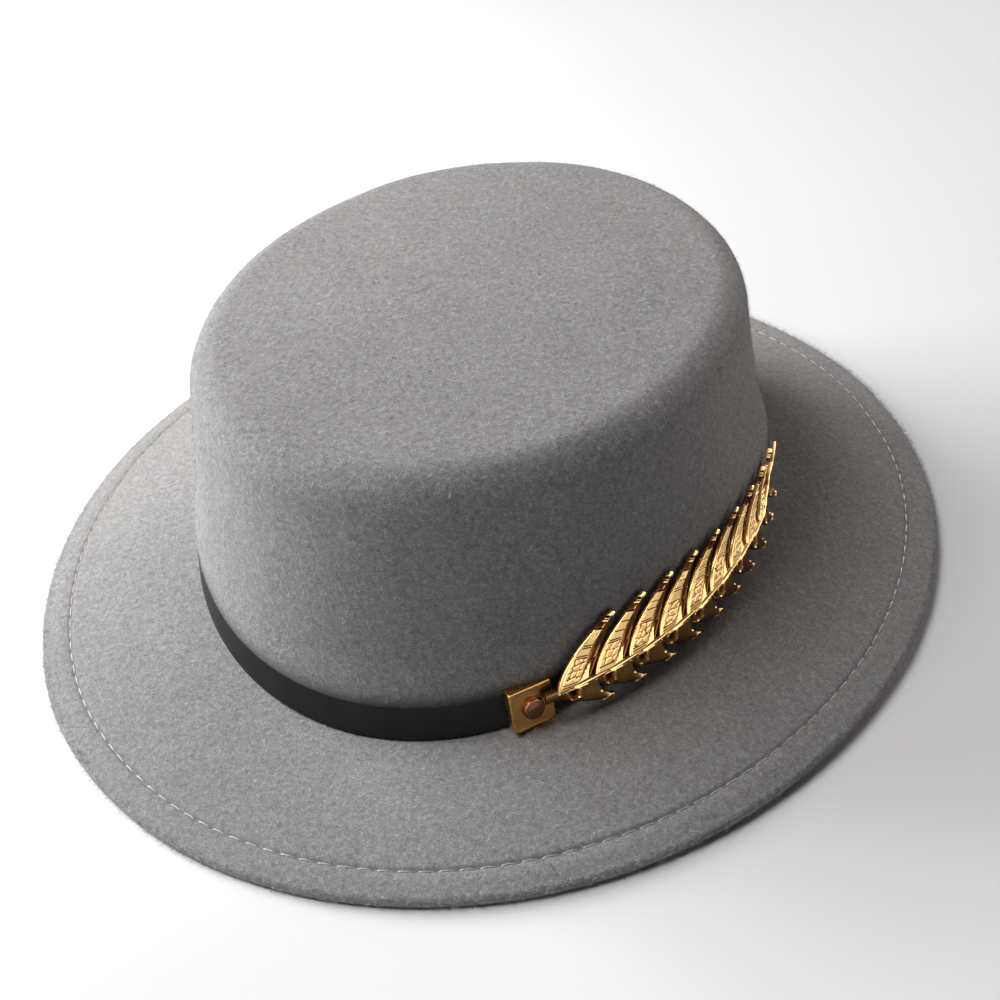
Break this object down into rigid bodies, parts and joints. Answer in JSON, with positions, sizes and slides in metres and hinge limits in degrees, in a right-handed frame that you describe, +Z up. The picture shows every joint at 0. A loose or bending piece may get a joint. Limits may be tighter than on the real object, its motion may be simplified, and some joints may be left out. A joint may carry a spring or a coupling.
{
  "type": "boater hat",
  "caption": "Flat-topped felt hat with a low crown, a wide sloping brim with a stitched edge, a narrow strap and a cast metal leaf fixed along one side.",
  "frame": {"origin": "middle of the hat's footprint, on the surface that the brim rests on", "axes": "+Z up out of the crown's top, -Y to the hat's front, +X to the wearer's left, where the leaf is"},
  "size_m": [0.2768, 0.3106, 0.0918],
  "materials": {
    "felt": "grey wool felt with a short nap",
    "strap": "smooth black leather look, soft sheen",
    "gold": "cast and polished, gold coloured",
    "copper": "polished, copper brown"
  },
  "bodies": {
    "root": {"felt_body": "felt", "hat_band": "strap", "leaf_ornament": "gold", "end_plate": "gold", "rivet": "copper"}
  },
  "joints": []
}
